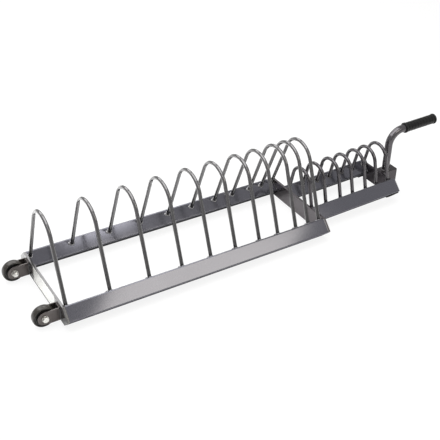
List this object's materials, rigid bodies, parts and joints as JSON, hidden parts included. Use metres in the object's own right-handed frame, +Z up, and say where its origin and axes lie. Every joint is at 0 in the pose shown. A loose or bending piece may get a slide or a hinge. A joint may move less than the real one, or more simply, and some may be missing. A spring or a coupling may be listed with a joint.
{
  "type": "wheeled weight plate rack",
  "caption": "Low steel rack on two wheels that holds round weight plates upright between bent rod hoops, with a smaller row of hoops and a raised handle at one end.",
  "frame": {"origin": "centre of the bounding box, at floor level", "axes": "+X along the rack from the wheels to the handle, +Y to the rear side, +Z up"},
  "size_m": [1.5778, 0.3592, 0.2922],
  "materials": {
    "frame_paint": "metallic grey, satin",
    "plate_paint": "metallic grey, satin",
    "hoop_paint": "metallic grey, satin",
    "fork_paint": "metallic brown grey, satin",
    "black_rubber": "matte black",
    "tyre_rubber": "matte black",
    "grip_rubber": "satin black",
    "wheel_centre": "satin black",
    "bright_zinc": "bright zinc plating",
    "turned_steel": "turned steel"
  },
  "bodies": {
    "frame": {"axle_bolt_front": "bright_zinc", "axle_bolt_rear": "bright_zinc", "bar_handle_end": "plate_paint", "foot_front": "black_rubber", "foot_rear": "black_rubber", "fork_front": "fork_paint", "fork_rear": "fork_paint", "handle_grip": "grip_rubber", "handle_stub": "plate_paint", "handle_stub_cap": "plate_paint", "handle_tube": "hoop_paint", "hoop_01": "hoop_paint", "hoop_02": "hoop_paint", "hoop_03": "hoop_paint", "hoop_04": "hoop_paint", "hoop_05": "hoop_paint", "hoop_06": "hoop_paint", "hoop_07": "hoop_paint", "hoop_08": "hoop_paint", "hoop_09": "hoop_paint", "hoop_10": "hoop_paint", "hoop_11": "hoop_paint", "lock_nut_front": "bright_zinc", "lock_nut_rear": "bright_zinc", "plate_middle": "plate_paint", "plate_wheel_end": "plate_paint", "rail_front": "frame_paint", "rail_rear": "frame_paint", "small_hoop_1": "hoop_paint", "small_hoop_2": "hoop_paint", "small_hoop_3": "hoop_paint", "small_hoop_4": "hoop_paint", "small_hoop_5": "hoop_paint", "small_hoop_6": "hoop_paint", "small_hoop_7": "hoop_paint", "small_rail_cap_front": "frame_paint", "small_rail_cap_rear": "frame_paint", "small_rail_front": "frame_paint", "small_rail_rear": "frame_paint", "washer_inner_front": "bright_zinc", "washer_inner_rear": "bright_zinc", "washer_outer_front": "bright_zinc", "washer_outer_rear": "bright_zinc"},
    "wheel_front": {"tyre_front": "tyre_rubber", "wheel_centre_front": "wheel_centre", "bush_front": "turned_steel"},
    "wheel_rear": {"tyre_rear": "tyre_rubber", "wheel_centre_rear": "wheel_centre", "bush_rear": "turned_steel"}
  },
  "joints": [
    {"name": "wheel_front_spin", "type": "hinge", "parent": "frame", "child": "wheel_front", "pos_m": [-0.75541, -0.1184, 0.036], "axis": [0, 1, 0], "continuous": true},
    {"name": "wheel_rear_spin", "type": "hinge", "parent": "frame", "child": "wheel_rear", "pos_m": [-0.75541, 0.1184, 0.036], "axis": [0, 1, 0], "continuous": true}
  ]
}
